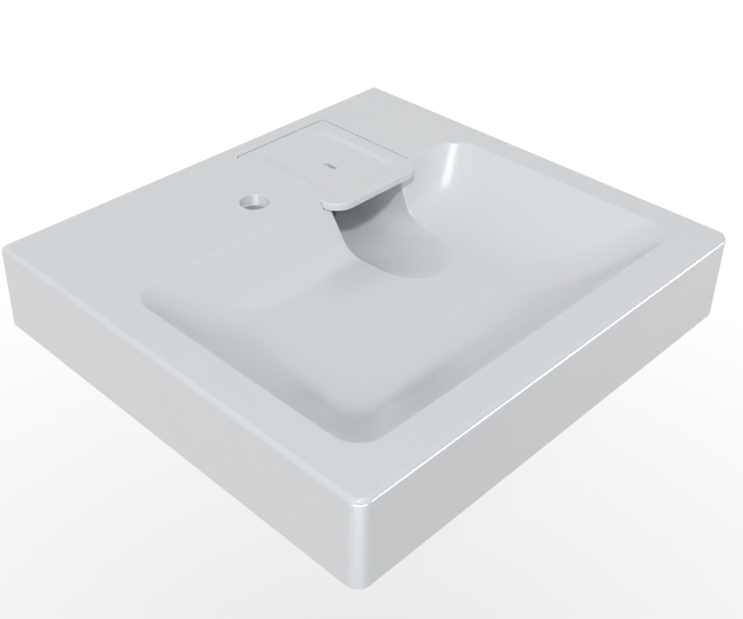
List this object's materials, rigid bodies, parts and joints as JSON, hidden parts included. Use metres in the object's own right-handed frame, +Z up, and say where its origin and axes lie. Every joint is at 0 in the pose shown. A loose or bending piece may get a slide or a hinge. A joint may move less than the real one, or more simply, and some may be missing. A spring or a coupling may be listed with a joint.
{
  "type": "washing machine basin",
  "caption": "Low rectangular wall-hung basin with an off-centre scoop under a lift-off drain cover, on steel brackets, with a bottle trap.",
  "frame": {"origin": "on the wall's face, at the centre of the four wall fixing holes of the two brackets", "axes": "+Z up, +Y into the wall, +X to the right of someone who stands at the basin"},
  "size_m": [0.6, 0.585, 0.255],
  "materials": {
    "glazed_cast": "white cast mineral body with a glossy gel coat",
    "soft_rubber": "matt grey",
    "black_rubber": "matt black",
    "insert_brass": "turned",
    "bracket_paint": "light grey powder coat",
    "zinc_steel": "zinc plated",
    "stainless": "pressed stainless sheet",
    "white_plastic": "moulded, satin gloss",
    "nut_plastic": "moulded, matt"
  },
  "bodies": {
    "basin": {"basin_body": "glazed_cast", "basin_inserts": "insert_brass", "left_bracket": "bracket_paint", "right_bracket": "bracket_paint", "bracket_pads": "black_rubber", "bolt_washers": "zinc_steel", "basin_bolts": "zinc_steel", "waste_flange": "stainless", "waste_flange_gasket": "black_rubber", "waste_body_gasket": "black_rubber", "waste_body": "white_plastic", "waste_screw": "stainless", "tail_washer": "black_rubber", "dip_tube": "white_plastic", "tail_nut": "nut_plastic", "neck_seal": "black_rubber", "neck_nut": "nut_plastic", "trap_body": "white_plastic", "outlet_seal": "black_rubber", "outlet_nut": "nut_plastic", "outlet_pipe": "white_plastic", "wall_rosette": "white_plastic", "hose_seal": "black_rubber", "hose_spigot": "white_plastic", "hose_nut": "nut_plastic"},
    "cover": {"drain_cover": "glazed_cast", "cover_pads": "soft_rubber"},
    "cup": {"trap_cup": "nut_plastic", "trap_cup_seal": "black_rubber"}
  },
  "joints": [
    {"name": "cover_lift", "type": "slide", "parent": "basin", "child": "cover", "axis": [0, 0, 1], "range_m": [0, 0.06]},
    {"name": "trap_cup_off", "type": "slide", "parent": "basin", "child": "cup", "axis": [0, 0, -1], "range_m": [0, 0.06]}
  ]
}
